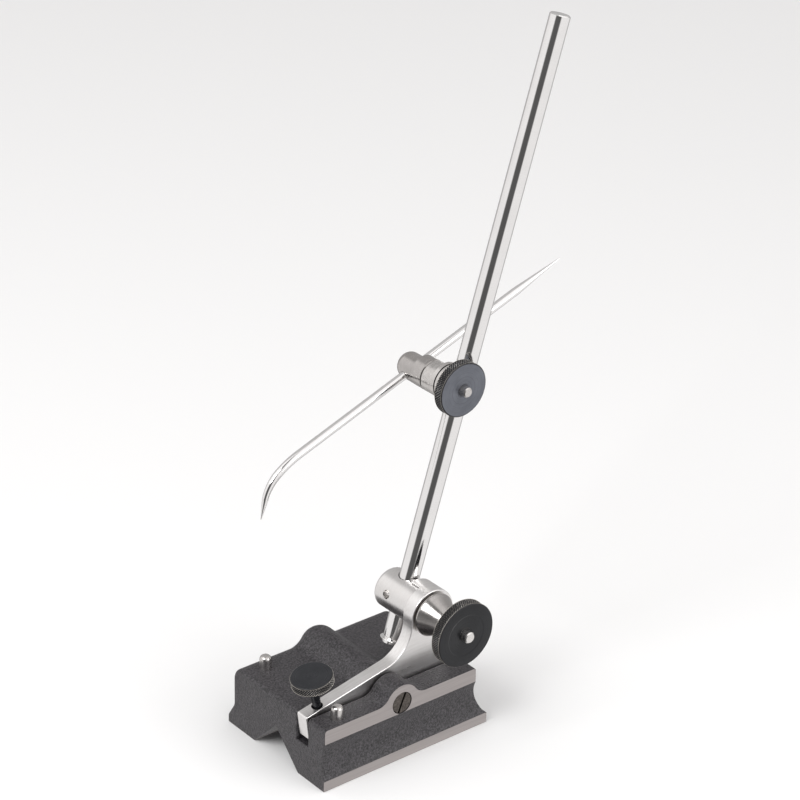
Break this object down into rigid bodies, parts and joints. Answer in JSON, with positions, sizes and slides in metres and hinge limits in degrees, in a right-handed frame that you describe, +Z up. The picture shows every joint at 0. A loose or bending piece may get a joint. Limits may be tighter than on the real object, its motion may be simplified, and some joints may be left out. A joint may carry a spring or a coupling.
{
  "type": "universal surface gauge",
  "caption": "Machinist's surface gauge: V-grooved cast base, rocking bracket with fine adjusting screw, swivel head, round spindle and a clamped scriber with a bent point.",
  "frame": {"origin": "half way along the V-groove of the base, in the plane of the surface that the base stands on", "axes": "+Z up; +X along the base, away from the adjusting screw; -Y towards the clamp nuts"},
  "size_m": [0.1842, 0.0883, 0.3275],
  "materials": {
    "base_paint": "charcoal crinkle paint, with the side strips ground bright",
    "satin_steel": "satin ground steel with bright edges",
    "turned_steel": "turned steel with fine rings",
    "bright_steel": "bright machined steel",
    "polished_steel": "ground and polished steel",
    "black_oxide": "black oxide, diamond knurled rim with worn crests",
    "dark_screw": "dark oiled steel",
    "spring_wire": "drawn spring wire"
  },
  "bodies": {
    "base": {"base_casting": "base_paint", "pivot_screw": "dark_screw", "rocker_spring": "spring_wire"},
    "rocker": {"rocker_bracket": "satin_steel"},
    "adjusting_screw": {"adjusting_screw": "black_oxide"},
    "left_pin": {"gauge_pin_left": "bright_steel"},
    "right_pin": {"gauge_pin_right": "bright_steel"},
    "swivel": {"swivel_sleeve": "satin_steel", "swivel_bolt": "bright_steel", "swivel_friction_washer": "dark_screw", "swivel_cone_washer": "turned_steel"},
    "swivel_nut": {"swivel_nut": "black_oxide"},
    "spindle": {"spindle": "polished_steel", "spindle_stop_ring": "polished_steel"},
    "snug": {"snug_body": "satin_steel"},
    "scriber_head": {"snug_friction_ring": "dark_screw", "scriber_sleeve": "turned_steel", "snug_bolt": "bright_steel"},
    "snug_nut": {"snug_nut": "black_oxide"},
    "scriber": {"scriber": "polished_steel"}
  },
  "joints": [
    {"name": "adjusting_screw_turn", "type": "hinge", "parent": "base", "child": "adjusting_screw", "pos_m": [-0.0393, -0.01945, 0.03422], "axis": [-0.1961, 0, 0.9806], "range_deg": [-810, 810]},
    {"name": "rocker_tilt", "type": "hinge", "parent": "base", "child": "rocker", "pos_m": [-0.00345, -0.01945, 0.0302], "axis": [0, 1, 0], "range_deg": [-3, 3], "deforming": ["rocker_spring"]},
    {"name": "left_pin_press", "type": "slide", "parent": "base", "child": "left_pin", "axis": [0, 0, -1], "range_m": [0, 0.006]},
    {"name": "right_pin_press", "type": "slide", "parent": "base", "child": "right_pin", "axis": [0, 0, -1], "range_m": [0, 0.006]},
    {"name": "swivel_tilt", "type": "hinge", "parent": "rocker", "child": "swivel", "pos_m": [0.0227, 0, 0.062], "axis": [0, 1, 0], "range_deg": [-48, 73.4]},
    {"name": "swivel_nut_turn", "type": "hinge", "parent": "swivel", "child": "swivel_nut", "pos_m": [0.0227, -0.045, 0.062], "axis": [0, -1, 0], "range_deg": [0, 270]},
    {"name": "spindle_turn", "type": "hinge", "parent": "swivel", "child": "spindle", "pos_m": [0.0227, -0.0038, 0.062], "axis": [0.2857, 0, 0.9583], "continuous": true},
    {"name": "snug_slide", "type": "slide", "parent": "spindle", "child": "snug", "axis": [0.2857, 0, 0.9583], "range_m": [-0.078, 0.16]},
    {"name": "scriber_swing", "type": "hinge", "parent": "snug", "child": "scriber_head", "pos_m": [0.045, 0, 0.16481], "axis": [0, 1, 0], "continuous": true},
    {"name": "snug_nut_turn", "type": "hinge", "parent": "scriber_head", "child": "snug_nut", "pos_m": [0.045, -0.0115, 0.16481], "axis": [0, -1, 0], "range_deg": [0, 270]},
    {"name": "scriber_slide", "type": "slide", "parent": "scriber_head", "child": "scriber", "axis": [0.9397, 0, 0.342], "range_m": [-0.055, 0.06]}
  ],
  "couplings": [
    {"joint": "rocker_tilt", "follows": "adjusting_screw_turn", "ratio": -0.003676}
  ]
}
